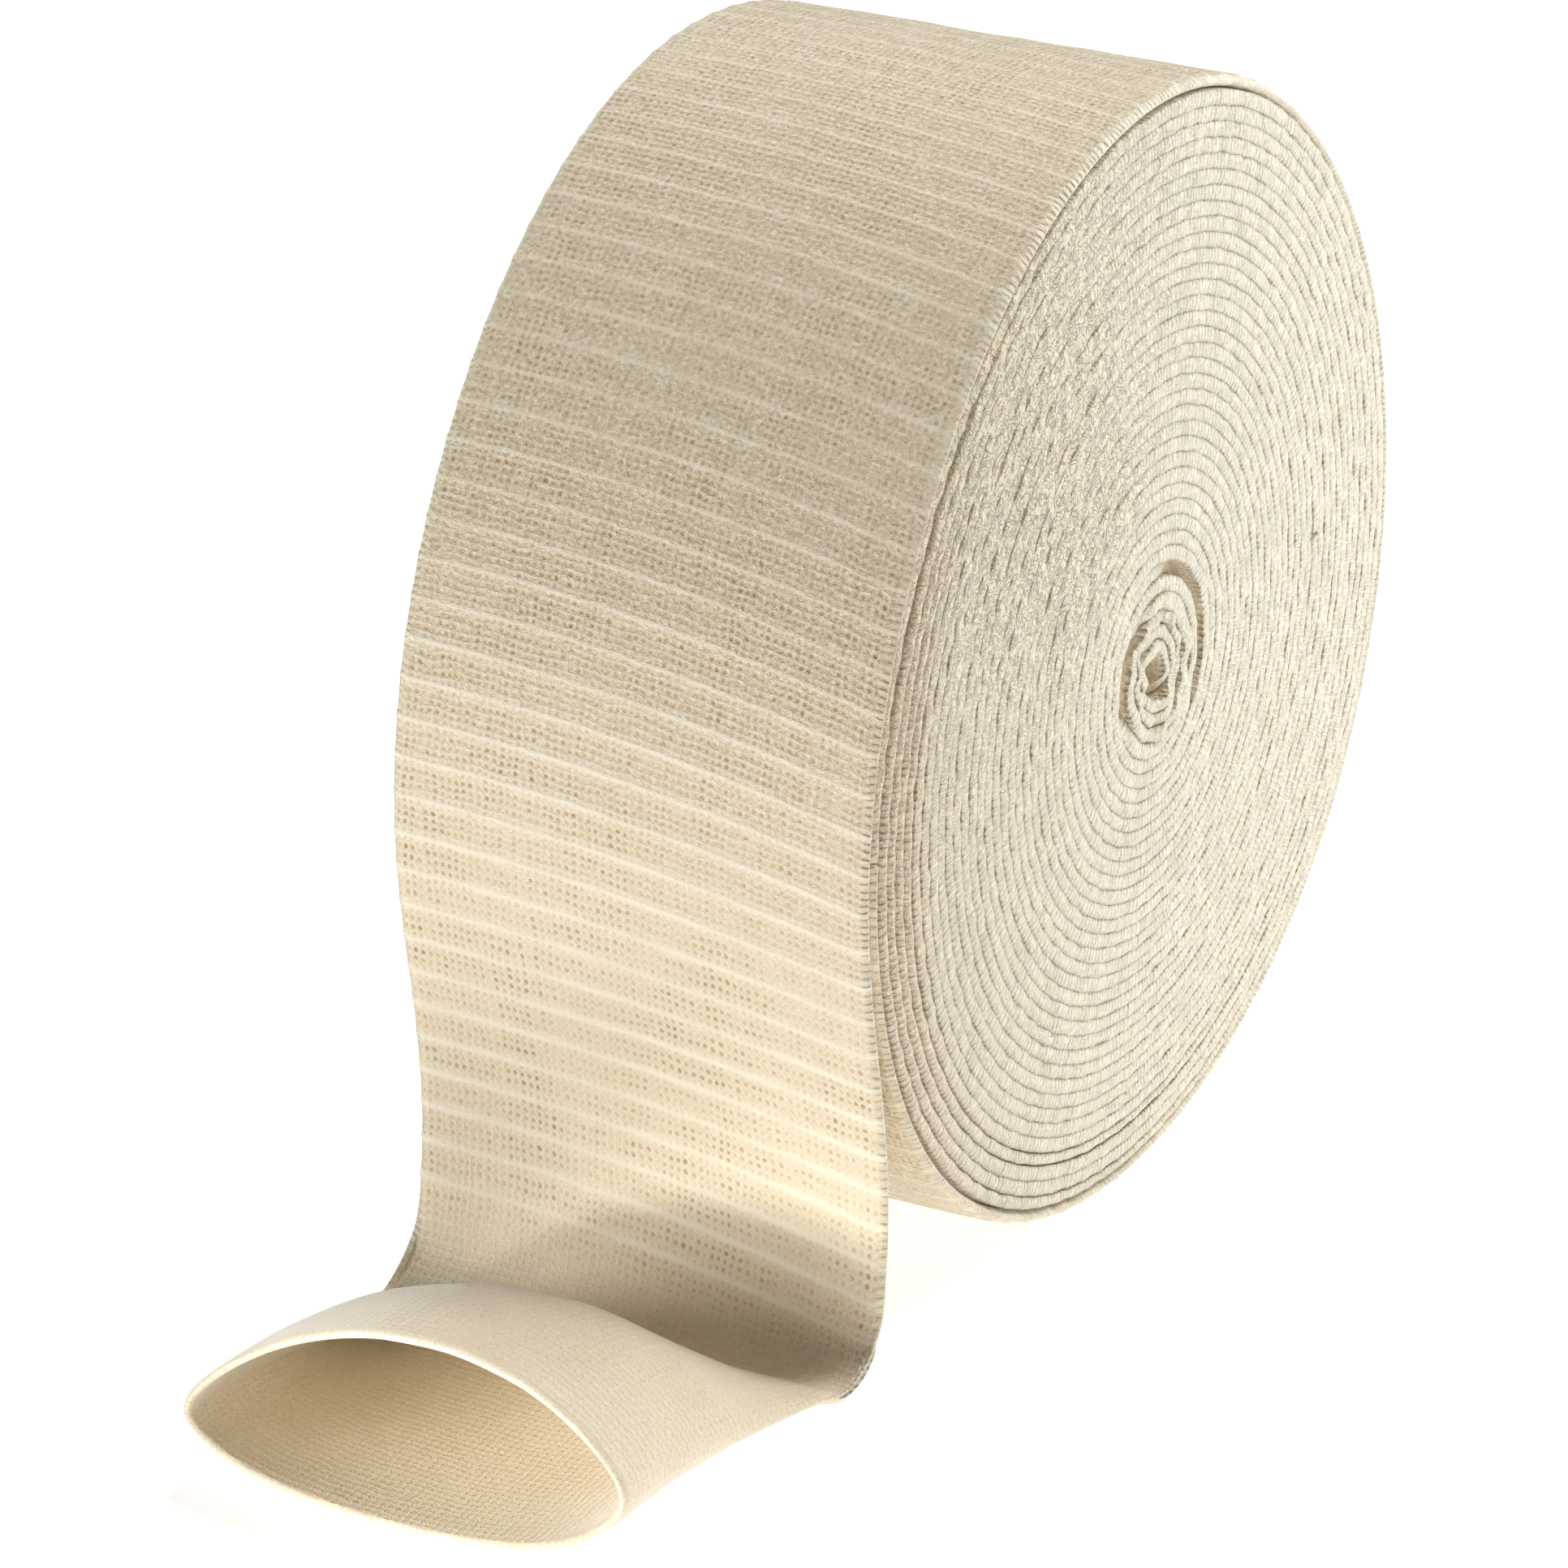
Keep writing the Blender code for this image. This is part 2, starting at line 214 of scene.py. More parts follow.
def ripple(a, b, seed, lengths):
    """A gentle unevenness, about -1 to 1, from a few waves in chosen lengths and directions."""
    draw = np.random.default_rng(seed)
    total = 0
    for length in lengths:
        turn, start = draw.uniform(0, 2 * math.pi, 2)
        far = a * math.cos(turn) + b * math.sin(turn)
        total = total + np.sin(2 * math.pi * far / length + start)
    return total / math.sqrt(len(lengths))


# %% [markdown]
# Each cross section of the tube is a closed ring. Where the tube is pressed flat the ring is two
# straight walls joined by tight folds, and towards the mouth it opens into an arch over a flat base.
# The ring is drawn with many points, rounded by averaging neighbours, and then cut into columns that
# are close together at the folds, where the cloth turns sharply.

# %% The rings of the outer cloth
RING = 400
half_ring = np.linspace(-1, 1, RING // 2, endpoint=False)
across = np.concatenate([half_ring, -half_ring])
side = np.repeat([1.0, -1.0], RING // 2)
near_mouth = ease(row_places, BEND + 0.002, BEND + 0.022)
lean_share = ((1 - near_mouth) * ease(row_places, KNOTS[0], KNOTS[0] + 0.02))[:, None]
x_flat = across[None, :] * HALF_WIDTH
places = row_places[:, None] + lean_share * (RIB_SKEW * x_flat + RIB_BOW * x_flat**2)
at = rail(places)
half_width, rounded = at[..., 6], at[..., 7]
edge = np.stack([at[..., 0], at[..., 1] + CORNER_TILT * across * rounded], axis=-1)
reach = np.where(side[None, :, None] > 0, at[..., 2:4], at[..., 4:6]) - edge
flat = np.minimum((1 - np.abs(across)) * half_width / FOLD_ROUND, 1.0)
rise = np.maximum(np.linalg.norm(reach, axis=-1), WALL)
arc_radius = (half_width**2 + rise**2) / (2 * rise)
arch = (np.sqrt(arc_radius**2 - (across * half_width) ** 2) - (arc_radius - rise)) / rise
base = 1 - (0.45 * across**2 + 0.55 * across**6)
open_share = np.where(side > 0, arch, base)
share = flat + (open_share - flat) * rounded
point = edge + reach * share[..., None]
x = across * half_width + APEX_SHIFT * rounded * (1 - across**2) * (side > 0)
rings = np.stack([x, -point[..., 0], point[..., 1]], axis=-1)


def even(rings, count):
    """The same open rows of points, cut into count even steps along their length."""
    steps = np.linalg.norm(np.diff(rings, axis=1), axis=-1)
    lengths = np.concatenate([np.zeros((len(rings), 1)), np.cumsum(steps, axis=1)], axis=1)
    wanted = np.linspace(0, lengths[:, -1], count + 1, axis=-1)
    evened = np.empty((len(rings), count + 1, 3))
    for ring, length, stops, result in zip(rings, lengths, wanted, evened):
        for axis in range(3):
            result[:, axis] = np.interp(stops, length, ring[:, axis])
    return evened


def soften(rings, width):
    """Closed rings with each point moved to the average of its neighbours."""
    offsets = np.arange(-30, 31)
    weights = np.exp(-0.5 * (offsets / width) ** 2)
    weights /= weights.sum()
    return sum(weight * np.roll(rings, shift, axis=1) for weight, shift in zip(weights, offsets))


over = rings[:, : RING // 2 + 1]
below = np.concatenate([rings[:, RING // 2 :], rings[:, :1]], axis=1)
rings = np.concatenate([even(over, RING // 2)[:, :-1], even(below, RING // 2)[:, :-1]], axis=1)
tight, loose = soften(rings, 1.3), soften(rings, 4.5)
blunt = soften(rings * (1.03, 1, 1), 9.0)  # softening draws the corners in, so it starts a little wider
opening = ease(row_places, BEND + 0.004, BEND + 0.03)[:, None, None]
at_mouth = ease(row_places, MOUTH - 0.03, MOUTH)[:, None, None]
rings = tight + (loose - tight) * opening
rings = rings + (blunt - rings) * at_mouth
rings[..., 2] = np.maximum(rings[..., 2], 0.0)
print("rings:", rings.shape)

# %% The columns of the outer cloth, close together at the folds
fold_steps = np.array([0.0, 0.4, 0.85, 1.4, 2.1, 3.1]) / 75
broad_steps = np.linspace(4.4, 70.6, 43) / 75
half_columns = np.concatenate([fold_steps, broad_steps, 1 - fold_steps[:0:-1]])
columns = np.concatenate([half_columns, 1 + half_columns, [2.0]]) * RING / 2
low = columns.astype(int)
part = (columns - low)[None, :, None]
rings = rings[:, low % RING] * (1 - part) + rings[:, (low + 1) % RING] * part
print(f"{len(columns) - 1} columns round the tube")


def outward(points):
    """The direction away from the cloth at each point of a closed tube's rows of rings."""
    round_it = np.concatenate([points[:, -2:-1], points, points[:, 1:2]], axis=1)
    round_it = round_it[:, 2:] - round_it[:, :-2]
    along = np.gradient(points, axis=0)
    normal = np.cross(round_it, along)
    return normal / np.linalg.norm(normal, axis=-1, keepdims=True)


normals = outward(rings)
middle_of_ring = rings[:, :-1].mean(axis=1, keepdims=True)
if ((rings - middle_of_ring) * normals).sum() < 0:
    normals = -normals
distance = columns / (RING / 2) * TUBE_WIDTH
outer_face = (distance < TUBE_WIDTH) * 1.0
rib_shape = np.exp(-(((row_ribs + 0.5) % 1 - 0.5) / 0.11) ** 2)
rib_strength = 1 - ease(row_places, BEND - 0.002, BEND + 0.006)
lift = (RIB_HEIGHT * rib_shape * rib_strength)[:, None] * outer_face
uneven = ripple(row_places[:, None], distance[None, :], 3, (0.041, 0.029, 0.023, 0.017, 0.012))
lift = lift + 0.00012 * uneven * np.sin(math.pi * distance / TUBE_WIDTH) * outer_face
outer = rings + normals * lift[..., None]
outer[..., 2] = np.maximum(outer[..., 2], 0.0)

# %% [markdown]
# The cloth is a real wall with an inside, so the outer rings are followed by a rounded raw edge and
# then by inner rings that run back into the tube, like a sock that is turned in. All of it is one
# long grid: the primitive gives the rows, columns and UV map, its points are moved to the rings, and
# merging the first column with the last closes the tube. The UV maps hold the knit's own scale:
# stitches across and along, and the count of ribs.

# %% The raw edge and the inside
wall = WALL * (0.85 + 0.35 * ease(row_places[-1:], BEND, MOUTH))[0]
rim_normal = normals[-1]
rim_along = outer[-1] - outer[-3]
rim_along /= np.linalg.norm(rim_along, axis=-1, keepdims=True)
rim = [
    outer[-1] - rim_normal * wall / 2 * (1 - math.cos(turn)) + rim_along * wall / 2 * math.sin(turn)
    for turn in np.radians([30, 60, 90, 120, 150])
]
inside_rows = np.arange(len(row_places) - 1, np.searchsorted(row_places, 0.004), -2)
walls = np.interp(row_places[inside_rows], [0, BEND, MOUTH], [WALL * 0.85, WALL * 0.85, wall])
inside = rings[inside_rows] - normals[inside_rows] * walls[:, None, None]
inside[..., 2] = np.maximum(inside[..., 2], 0.0006)
outer_points = np.concatenate([outer, np.array(rim), inside])
edge_ribs = row_ribs[-1] + np.linspace(0.05, 0.3, len(rim))
inside_ribs = row_ribs[-1] + 0.35 + (row_ribs[-1] - row_ribs[inside_rows])
all_ribs = np.concatenate([row_ribs, edge_ribs, inside_ribs])
all_places = np.concatenate([row_places, np.full(len(rim), MOUTH), row_places[inside_rows]])
print(f"{len(outer_points)} rows with the raw edge and the inside")


# %% Making a piece of cloth from its rings
def cloth(name, points, maps):
    """A grid primitive moved to these rings, closed into a tube and at both ends, with its UV maps."""
    rows, round_it = points.shape[:2]
    bpy.ops.mesh.primitive_grid_add(x_subdivisions=round_it - 1, y_subdivisions=rows - 1, size=1)
    piece = bpy.context.object
    piece.name = piece.data.name = name
    mesh = piece.data
    mesh.vertices.foreach_set("co", points.astype(np.float32).ravel())
    corners = np.empty(len(mesh.loops), np.int32)
    mesh.loops.foreach_get("vertex_index", corners)
    mesh.uv_layers[0].name = "Knit"
    for uv_name, values in maps.items():
        layer = mesh.uv_layers.get(uv_name) or mesh.uv_layers.new(name=uv_name)
        uv = np.stack([np.broadcast_to(value, (rows, round_it)) for value in values], axis=-1)
        uv = uv.reshape(-1, 2)[corners]
        layer.data.foreach_set("uv", uv.astype(np.float32).ravel())
    bpy.ops.object.mode_set(mode="EDIT")
    bpy.ops.mesh.select_all(action="SELECT")
    bpy.ops.mesh.remove_doubles(threshold=1e-6)
    bpy.ops.mesh.select_all(action="DESELECT")
    bpy.ops.mesh.select_mode(type="EDGE")
    bpy.ops.mesh.select_non_manifold(extend=False)
    bpy.ops.mesh.fill_holes(sides=0)
    bpy.ops.mesh.select_all(action="SELECT")
    bpy.ops.mesh.normals_make_consistent(inside=False)
    bpy.ops.object.mode_set(mode="OBJECT")
    bpy.ops.object.shade_smooth()
    piece.select_set(False)
    triangles = sum(len(face.vertices) - 2 for face in mesh.polygons)
    print(f"{name}: {triangles} triangles, {max(point.co.z for point in mesh.vertices):.4f} m high")
    return piece


COURSES_WOUND, COURSES_HANGING = 5, 4  # rows of stitches to a rib
LET_GO = round((0.012 - KNOTS[0]) / RIB_PITCH)  # the rib where the stretched cloth lets go


def courses_at(ribs):
    """Stitch rows counted along the cloth: more of them to a rib where the cloth is stretched."""
    past = ribs - LET_GO
    return COURSES_HANGING * past + (COURSES_WOUND - COURSES_HANGING) * np.minimum(past, 0)


outer_points[..., 1] += CENTRE_Y
rib_show = 1 - ease(all_places, BEND - 0.006, BEND + 0.004)
rib_show[len(row_places) :] = 0.0
inside_share = (np.arange(len(all_places)) >= len(row_places)) * 1.0
wound_share = (1 - ease(all_places, -0.05, 0.03)) * (1 - inside_share)
loose_end = cloth("outer_cloth", outer_points, {
    "Knit": ((distance / WALE)[None, :], courses_at(all_ribs)[:, None]),
    "Ribs": (rib_show[:, None], all_ribs[:, None]),
    "Fold": (1.0, 0.0),
    # The second number of Place marks the inside of the tube, which the knit paints a little paler:
    # painted light.
    "Place": (wound_share[:, None], inside_share[:, None]),
})  # fmt: skip

# %% [markdown]
# The rest of the roll is the same flat tube, wound from under the tail to the eye. Only its folded
# edges show, one ridge for each turn. A real roll's ridges aren't even: each turn sits a little
# further in or out, the thick ends of the ribs bridge the groove beside them, a few turns are looser,
# and two gaps and a small hole are left where the winding began. The band is long, so it is drawn as
# two pieces that meet end to end.


# %% The wound turns
FIRST_TURN = 2 * math.pi + 0.0003 / ROLL_RADIUS
BAND_STEP = 0.00075


def length_at(turned):
    """Cloth between the front of the roll and this many radians of winding."""
    return (ROLL_RADIUS - WALL) * turned - PITCH * turned**2 / (4 * math.pi)


def turned_at(length):
    outer_radius = ROLL_RADIUS - WALL
    return (outer_radius - np.sqrt(outer_radius**2 - PITCH * length / math.pi)) * 2 * math.pi / PITCH


EYE_TURN = (ROLL_RADIUS - 2 * WALL - EYE_RADIUS) / PITCH
last_turn = 2 * math.pi * EYE_TURN
band_start, band_end = length_at(FIRST_TURN), length_at(last_turn)
print(f"{EYE_TURN:.1f} turns, {band_end - band_start:.2f} m of flat tube in the inner roll")


def near(value, centre, width):
    """1 at the centre, fading to nothing about two widths away."""
    return np.exp(-(((value - centre) / width) ** 2))


def band(lengths):
    """Rings of the wound flat tube at these lengths of cloth from the front of the roll."""
    turned = turned_at(lengths)
    angle = math.pi - turned
    turns = turned / (2 * math.pi)
    radius = turn_radius(angle)
    ribs = lengths / RIB_PITCH
    crest = near((ribs + 0.5) % 1, 0.5, 0.14)
    at_front = near((turns + 0.5) % 1, 0.5, 0.10) * (1 - ease(turns, 4.5, 6.5))
    looser = near(turns, 1.75, 0.10) + near(turns, 4.76, 0.12)
    tangled = near((turns + 0.361) % 1, 0.5, 0.085) * ease(radius, 0.018, 0.034)
    core = 1 - ease(radius, 0.009, 0.013)
    gap = near(turns, 31.42, 0.12) + near(turns, 33.04, 0.09)
    gap = gap + ease(turns, EYE_TURN - 0.9, EYE_TURN - 0.5)
    wander = ripple(lengths, 0, 5, (0.083, 0.031, 0.013, 0.0071, 0.0047, 0.0033))
    swell = ripple(lengths, 0, 9, (0.017, 0.011, 0.0053, 0.0037))
    fullness = 1.15 + 0.03 * crest + 0.02 * swell + 0.06 * tangled
    half = WALL * (fullness - 0.30 * looser - 0.18 * at_front - 0.12 * core - 0.25 * gap)
    behind_rim = (1 - ease(turns, 1.3, 1.45)) * near((turns + 0.5) % 1, 0.59, 0.09)
    reach = HALF_WIDTH - 0.0002 - 0.0006 * behind_rim - 0.0035 * np.minimum(gap, 1)
    reach = reach + (0.00010 + 0.00006 * tangled + 0.00035 * core) * wander
    bends = np.radians([90, 60, 30, 0, -30, -60, -90])
    depth = 0.00026 + 0.0010 * at_front + 0.0004 * looser - 0.00015 * crest - 0.00015 * tangled
    edge_x = reach[:, None] - depth[:, None] * (1 - np.cos(bends))
    x = np.concatenate([-edge_x, edge_x[:, ::-1]], axis=1)
    offset = half[:, None] * np.sin(bends)
    offset = np.concatenate([offset, offset[:, ::-1]], axis=1)
    x, offset = np.hstack([x, x[:, :1]]), np.hstack([offset, offset[:, :1]])
    y, z = settle(radius[:, None] + offset, angle[:, None])
    points = np.stack([x, y + CENTRE_Y, np.maximum(z + CENTRE_HEIGHT, 0.0002)], axis=-1)
    arc = np.arange(7) * 0.0005
    wales = np.concatenate([arc, arc + 0.0732, [0.1462]]) / WALE
    ridge = np.cos(np.concatenate([bends, bends, bends[:1]]))
    return points, {
        "Knit": (wales[None, :], (ribs * COURSES_WOUND)[:, None]),
        "Ribs": (0.4, ribs[:, None]),
        "Fold": (ridge[None, :], tangled[:, None]),
        "Place": (1.0, 0.0),
    }


split = length_at(2 * math.pi * 12.5)
outer_turns = cloth("outer_turns", *band(np.arange(band_start, split, BAND_STEP)))
inner_lengths = np.append(np.arange(split + 0.0003, band_end, BAND_STEP), band_end)
inner_turns = cloth("inner_turns", *band(inner_lengths))

# %% [markdown]
# Every piece is the same unbleached cotton knit. Its pattern is worked out from the stitch and rib
# counts in the UV maps, so that it follows the cloth round every bend. Maths on a socket reads best as
# plain expressions, so a small class wraps a socket and adds the nodes for them.


# %% Shader maths as expressions
class Signal:
    """An output socket of a material. An expression on it adds the Math nodes that work it out."""

    def __init__(self, tree, socket=None):
        self.tree, self.socket = tree, socket

    def node(self, kind, settings=(), inputs=(), output=0):
        """Adds a node, sets its settings, then gives its sockets their values or links."""
        made = self.tree.nodes.new("ShaderNode" + kind)
        for name, value in dict(settings).items():
            setattr(made, name, value)
        for name, value in dict(inputs).items():
            if isinstance(value, Signal):
                self.tree.links.new(value.socket, made.inputs[name])
            else:
                made.inputs[name].default_value = value
        return Signal(self.tree, made.outputs[output])

    def other(self, output):
        """Another output of the same node."""
        return Signal(self.tree, self.socket.node.outputs[output])

    def math(self, operation, *values):
        return self.node("Math", {"operation": operation}, dict(enumerate((self, *values))))

    def __add__(self, other):
        return self.math("ADD", other)

    def __sub__(self, other):
        return self.math("SUBTRACT", other)

    def __rsub__(self, other):
        return (self * -1.0) + other

    def __mul__(self, other):
        return self.math("MULTIPLY", other)

    __radd__, __rmul__ = __add__, __mul__

    def smooth(self, low, high, start=0.0, end=1.0):
        """start below low, end above high, and smooth between."""
        values = {"Value": self, "From Min": low, "From Max": high, "To Min": start, "To Max": end}
        return self.node("MapRange", {"interpolation_type": "SMOOTHSTEP"}, values)


def mix_colours(amount, first, second):
    """A colour mixed from two, by an amount from 0 to 1."""
    made = amount.node("Mix", {"data_type": "RGBA"}, {"Factor": amount}, output=2)
    for index, value in ((6, first), (7, second)):
        if isinstance(value, Signal):
            made.tree.links.new(value.socket, made.socket.node.inputs[index])
        else:
            made.socket.node.inputs[index].default_value = (*value, 1.0)
    return made


# %% [markdown]
# The knit shows small dark openings between the loops, some wide and some closed, in rows and
# columns that wander slightly. Ribs are smoother, paler and raised. Where the cloth is stretched
# round the roll it is browner and full of light and dark specks. On the folded edges at both ends of
# the roll each stitch is a bead with a pit beside it, and in places the loops are a woolly tangle.
# The pits are partly openings and partly painted shade down the grooves between the folds, more
# painted shade fills the grooves, and the bead tops carry a painted highlight. The end faces are
# painted paler towards the back and browner towards the front, and the inside of the tube a little
# paler: painted light and shade. The outer cloth shows neither pits nor tangle nor groove shade, so
# it has a plainer copy of the material.

# %% The cotton knit
CREAM = (0.87, 0.76, 0.57)
SHADE = (0.82, 0.71, 0.52)
# The brown of the stretched cloth, which also serves as painted shade on the end faces.
STRETCHED_AND_PAINTED_SHADE = (0.73, 0.62, 0.44)
# The colour of the openings between stitches, which also serves as painted shade in the grooves of the
# end faces.
OPENING_AND_PAINTED_SHADE = (0.46, 0.32, 0.15)
# The paler cream of ribs, specks and loops, which also serves as painted light and painted highlight.
PALE_AND_PAINTED_LIGHT = (0.93, 0.865, 0.70)


def cotton_knit(name, folded_edges):
    material = bpy.data.materials.new(name)
    material.use_nodes = True
    tree = material.node_tree
    shader = tree.nodes["Principled BSDF"]
    start = Signal(tree)

    def uv_pair(name):
        first = start.node("SeparateXYZ", inputs={0: start.node("UVMap", {"uv_map": name})})
        return first, first.other("Y")

    wale_count, course_count = uv_pair("Knit")
    strength, rib_count = uv_pair("Ribs")
    ridge, tangled = uv_pair("Fold")
    wound, inside = uv_pair("Place")
    place = start.node("TexCoord", output="Object")

    def noise(scale, detail=0.0, roughness=0.5, distortion=0.0):
        values = {"Scale": scale, "Detail": detail, "Roughness": roughness, "Distortion": distortion}
        return place.node("TexNoise", inputs={"Vector": place, **values})

    # The stitches: dark openings in rows and columns, and a rounded loop between them.
    drift = noise(260.0)
    drift = drift.node("SeparateXYZ", inputs={0: drift.other("Color")})
    wales = wale_count + (drift - 0.5) * 0.8
    courses = course_count + (drift.other("Y") - 0.5) * 0.8
    cell = start.node("CombineXYZ", inputs={0: wales.math("FLOOR"), 1: courses.math("FLOOR")})
    chance = start.node("TexWhiteNoise", {"noise_dimensions": "3D"}, {"Vector": cell})
    column = start.node("TexWhiteNoise", {"noise_dimensions": "1D"}, {"W": wales.math("FLOOR")})
    from_wale = wales.math("FRACT") - 0.5
    from_course = courses.math("FRACT") - 0.5
    away = from_wale * from_wale + from_course * from_course * 1.1
    patches = noise(60.0, 1.0).smooth(0.36, 0.64)
    shown = (chance * 0.45 + column * 0.35 + 0.15) * (patches * 0.45 + 0.55) * (strength * 0.7 + 0.3)
    hole = away.smooth(0.01, 0.12, 1.0, 0.0) * shown * (1.15 - wound * 0.15)
    loop = away.smooth(0.16, 0.46)

    # The ribs, and the fuzzy folded edges at both ends of the roll.
    from_rib = ((rib_count + 0.5).math("FRACT") - 0.5).math("ABSOLUTE")
    broken = noise(75.0, 1.0).smooth(0.40, 0.62, 0.65, 1.0)
    broad = from_rib.smooth(0.06, 0.25, 1.0, 0.0) * strength * (1.0 - wound * 0.65) * broken
    fine = from_rib.smooth(0.02, 0.09, 1.0, 0.0) * strength * broken
    across = place.node("SeparateXYZ", inputs={0: place})
    end_face = across.math("ABSOLUTE").smooth(0.0358, 0.0368)
    # A gradient along Y paints the end faces paler towards the back and browner towards the front:
    # painted light and shade.
    end_painted_light = across.other("Y").smooth(-0.05, 0.06, 0.1, 0.85)
    plain = 1.0 - broad * 0.9 - fine * wound * 0.5
    hole = hole * plain * (1.0 - end_face * 0.7)

    # Specks of light and shade, much stronger where the cloth is stretched round the roll.
    specks = noise(1350.0, 2.0, 0.7)
    speckled = wound * 0.62 * (1.0 - end_face * 0.6) + 0.16
    dark_speck = specks.smooth(0.34, 0.50, 1.0, 0.0) * speckled * plain
    light_speck = (specks.smooth(0.52, 0.68) + loop * chance.smooth(0.5, 1.0)) * speckled

    # On the folded edges each stitch is a bead, with a pit beside it, and a tangle of loops in places.
    # The pits are partly openings and partly painted shade down the grooves between the folds, and the
    # valley is painted shade in the grooves.
    bead = ((courses + noise(140.0) * 1.6).math("FRACT") - 0.5).math("ABSOLUTE")
    bead = bead.smooth(0.1, 0.42, 1.0, 0.0)
    pit_and_painted_groove_shade = curl = painted_valley_shade = wool = 0.0
    if folded_edges:
        pit_and_painted_groove_shade = ridge.smooth(0.15, 0.85, 1.0, 0.0) * (1.0 - bead * 0.85)
        pit_and_painted_groove_shade = pit_and_painted_groove_shade * end_face * (1.0 - tangled * 0.8)
        curl = (noise(430.0, 1.0, 0.5, 2.2) - 0.5).math("ABSOLUTE").smooth(0.0, 0.05, 1.0, 0.0)
        curl = curl * end_face * (tangled * 0.8 + 0.2)
        painted_valley_shade = ridge.smooth(0.1, 0.8, 0.5, 0.0) * noise(350.0, 1.0).smooth(0.35, 0.6) * end_face
        wool = (noise(620.0, 1.0, 0.6) - 0.5) * (end_face * 0.7)

    fibre = noise(2600.0, 1.0, 0.6)
    tone = noise(38.0, 2.0, 0.6)
    colour = mix_colours(tone.smooth(0.3, 0.7), CREAM, SHADE)
    # The cloth wound round the roll is browner. On the end faces this brown is painted shade, strongest
    # towards the front, and it is browner where the loops tangle.
    stretched = wound * (1.0 - end_face) + end_face * (0.75 - end_painted_light * 0.75 + tangled * 0.45)
    colour = mix_colours(stretched, colour, STRETCHED_AND_PAINTED_SHADE)
    # Ribs are paler. The end faces are painted paler towards the back, and the inside of the tube a
    # little paler: painted light.
    pale_and_painted_light = broad * 0.6 + fine * 0.25 + end_face * end_painted_light * (1.0 - tangled * 0.8) + inside * 0.12
    colour = mix_colours(pale_and_painted_light, colour, PALE_AND_PAINTED_LIGHT)
    # Openings and specks are the knit's own; the pits are partly, and the valley wholly, painted shade in
    # the grooves between folds.
    colour = mix_colours(hole + dark_speck * 0.55 + pit_and_painted_groove_shade * 0.45 + painted_valley_shade, colour, OPENING_AND_PAINTED_SHADE)
    # The bead tops on the ridges of the end faces get a painted highlight; the rest are light specks,
    # loops, curls and fibres.
    light = light_speck * 0.8 + curl + bead * ridge * end_face * 0.3
    light = light + (fibre - 0.5).smooth(0.0, 0.25) * 0.2
    # Light marks fade towards the front of the end faces: painted shade.
    colour = mix_colours(light * (1.0 - end_face * (1.0 - end_painted_light) * 0.7), colour, PALE_AND_PAINTED_LIGHT)
    tree.links.new(colour.socket, shader.inputs["Base Color"])

    height = loop * 0.10 * plain - hole * 0.16 + fine * 0.06 + broad * 0.06 + (fibre - 0.5) * 0.10
    height = height + (specks - 0.5) * (wound * 0.25 + 0.05)
    height = height + bead * end_face * (1.0 - tangled) * 0.2
    height = height + curl * 0.5 - pit_and_painted_groove_shade * 0.14 + wool
    bump = start.node("Bump", inputs={"Strength": 1.0, "Distance": 0.001, "Height": height})
    tree.links.new(bump.socket, shader.inputs["Normal"])
    shader.inputs["Roughness"].default_value = 0.95
    shader.inputs["Specular IOR Level"].default_value = 0.15
    shader.inputs["Sheen Weight"].default_value = 0.7
    shader.inputs["Sheen Roughness"].default_value = 0.35
    return material


OUTER_KNIT, EDGE_KNIT = cotton_knit("outer_knit", False), cotton_knit("edge_knit", True)
for piece, knit in ((loose_end, OUTER_KNIT), (outer_turns, EDGE_KNIT), (inner_turns, EDGE_KNIT)):
    piece.data.materials.clear()
    piece.data.materials.append(knit)
    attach(piece, "root")
print("nodes in the knit materials:", len(OUTER_KNIT.node_tree.nodes), len(EDGE_KNIT.node_tree.nodes))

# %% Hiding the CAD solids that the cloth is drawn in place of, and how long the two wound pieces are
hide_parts("loose_end")
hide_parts("wound_roll")
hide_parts("wound_roll")
split - band_start
band_end - split

# %% [markdown]
# The bandage stands on a plain white table, which glows a little so that it reads as pure white and
# lights the cloth from below, as paper in a light tent does. The strongest lamp hangs above and
# behind. A small one close by lights the wound end, two more stand in front, to the left and to the
# right, and a narrow spot shines into the mouth.

# %% Table and light
bpy.ops.mesh.primitive_plane_add(size=6.0, location=(0, 0, 0))
table = bpy.context.object
table.name = "table"
table.select_set(False)
paper = bpy.data.materials.new("white_table")
paper.use_nodes = True
paper_shader = paper.node_tree.nodes["Principled BSDF"]
paper_shader.inputs["Base Color"].default_value = (0.93, 0.93, 0.93, 1)
paper_shader.inputs["Roughness"].default_value = 0.9
paper_shader.inputs["Emission Color"].default_value = (1, 1, 1, 1)
paper_shader.inputs["Emission Strength"].default_value = 0.6
table.data.materials.append(paper)

world = bpy.data.worlds.new("studio")
world.use_nodes = True
sky = world.node_tree.nodes["Background"]
sky.inputs["Color"].default_value = (1, 1, 1, 1)
sky.inputs["Strength"].default_value = 0.05
bpy.context.scene.world = world


def lamp(kind, name, place, aim, power):
    """A lamp at a place, turned to face a point."""
    bpy.ops.object.light_add(type=kind, location=place)
    made = bpy.context.object
    made.name = name
    made.data.energy = power
    made.rotation_euler = (Vector(aim) - Vector(place)).to_track_quat("-Z", "Y").to_euler()
    made.select_set(False)
    return made.data


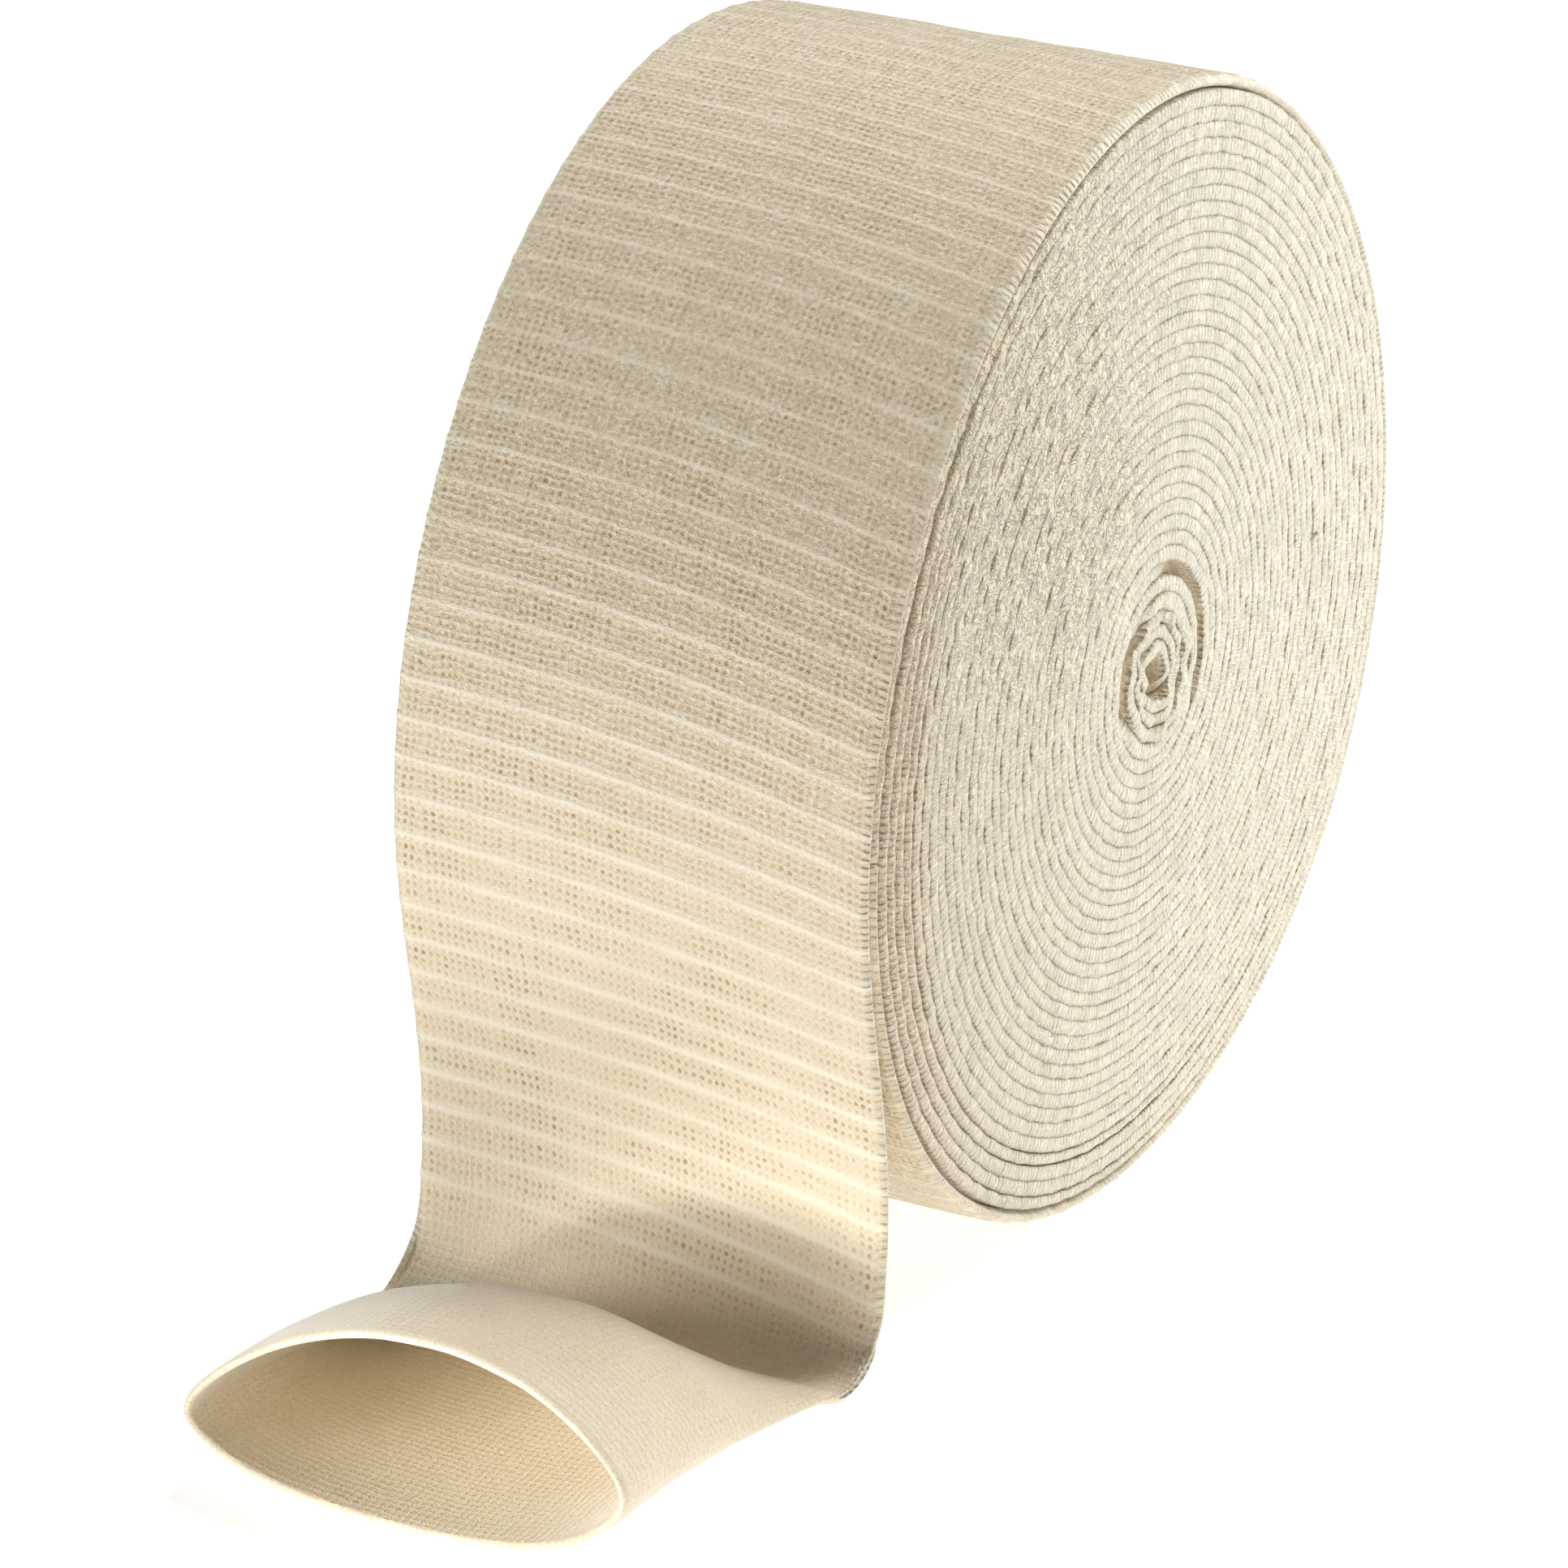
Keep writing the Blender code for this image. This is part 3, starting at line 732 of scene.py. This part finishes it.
SOFTBOXES = {  # place, the point that it faces, its side in metres, watts
    "top_light": ((0.25, 0.75, 1.2), (0, 0.03, 0.05), 0.9, 21.0),
    "end_light": ((0.28, 0.32, 0.30), (0.037, 0.06, 0.10), 0.2, 0.6),
    "front_light": ((-0.55, -0.90, 0.24), (0, -0.1, 0.04), 0.35, 5.0),
    "right_light": ((1.1, -0.9, 0.45), (0, 0, 0.05), 0.7, 1.9),
}
for name, (place, aim, size, power) in SOFTBOXES.items():
    softbox = lamp("AREA", name, place, aim, power)
    softbox.shape, softbox.size = "SQUARE", size
spot = lamp("SPOT", "mouth_light", (-0.06, -0.38, 0.055), (0.01, -0.09, 0.009), 3.4)
spot.spot_size, spot.spot_blend, spot.shadow_soft_size = math.radians(15), 1.0, 0.02
print("lamps:", ", ".join(SOFTBOXES), "and mouth_light")

# %% [markdown]
# The camera looks down a little from the front right, from far away and through a long lens, so that
# the far end of the roll is hardly smaller than the near one.

# %% Camera
AZIMUTH, ELEVATION, FAR = math.radians(26.94), math.radians(22.0), 1.3
FRAME, LENS_PIXELS = 1932, 11035  # the picture's width and the lens, both in pixels
TURN_RIGHT, TURN_UP = -0.0142, -0.0192  # radians, to put the bandage in the middle
back = Vector((
    math.sin(AZIMUTH) * math.cos(ELEVATION), -math.cos(AZIMUTH) * math.cos(ELEVATION), math.sin(ELEVATION)
))  # fmt: skip
right = (-back).cross(Vector((0, 0, 1))).normalized()
up = right.cross(-back)
look = -back * math.cos(TURN_RIGHT) + right * math.sin(TURN_RIGHT)
look = look * math.cos(TURN_UP) + up * math.sin(TURN_UP)
right = look.cross(Vector((0, 0, 1))).normalized()
up = right.cross(look)
bpy.ops.object.camera_add(location=Vector((0, CENTRE_Y, CENTRE_HEIGHT)) + back * FAR)
camera = bpy.context.object
camera.rotation_euler = Matrix((right, up, -look)).transposed().to_euler()
camera.data.sensor_width = 36.0
camera.data.lens = 36.0 * LENS_PIXELS / FRAME
camera.data.clip_start, camera.data.clip_end = 0.1, 20.0
camera.select_set(False)
bpy.context.scene.camera = camera
bpy.context.scene.view_settings.view_transform = "Standard"
print(f"camera {FAR} m from the roll, lens {camera.data.lens:.0f} mm")
